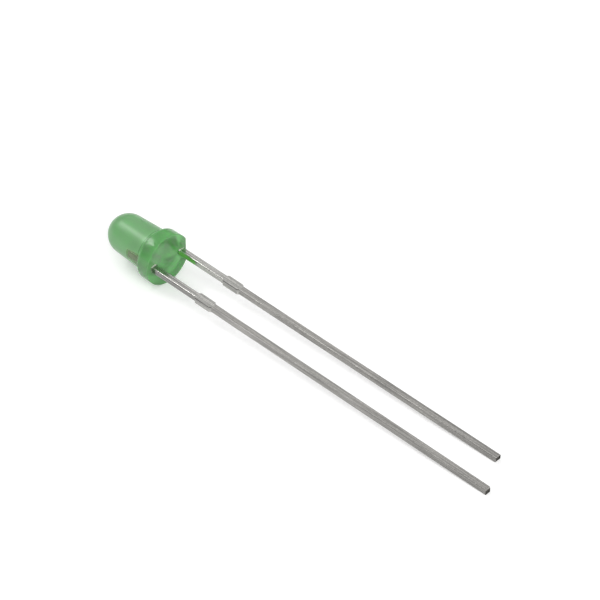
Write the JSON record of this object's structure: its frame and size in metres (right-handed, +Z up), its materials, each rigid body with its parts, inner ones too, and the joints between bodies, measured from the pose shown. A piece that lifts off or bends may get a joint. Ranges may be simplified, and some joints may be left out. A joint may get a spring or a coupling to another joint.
{
  "type": "through hole led",
  "caption": "Round 3 mm through hole LED, a green diffused epoxy lens with a flanged seat on a two lead frame, lying on its side.",
  "frame": {"origin": "middle of the underside of the lying part's box, on the surface that it lies on", "axes": "+X the way the leads run, level on the surface; +Y from the anode to the cathode; +Z up, so the dome points along -X"},
  "size_m": [0.0347, 0.0036, 0.0038],
  "materials": {
    "green_epoxy": "diffused, glossy as cast",
    "tinned_strip": "hot dipped tin, satin",
    "die_crystal": "sawn and polished",
    "silver_paste": "cured silver filled paste",
    "gold_wire": "drawn, bright"
  },
  "bodies": {
    "root": {"epoxy_lens": "green_epoxy", "cathode_lead": "tinned_strip", "anode_lead": "tinned_strip", "led_die": "die_crystal", "die_attach": "silver_paste", "bond_wire": "gold_wire"}
  },
  "joints": []
}
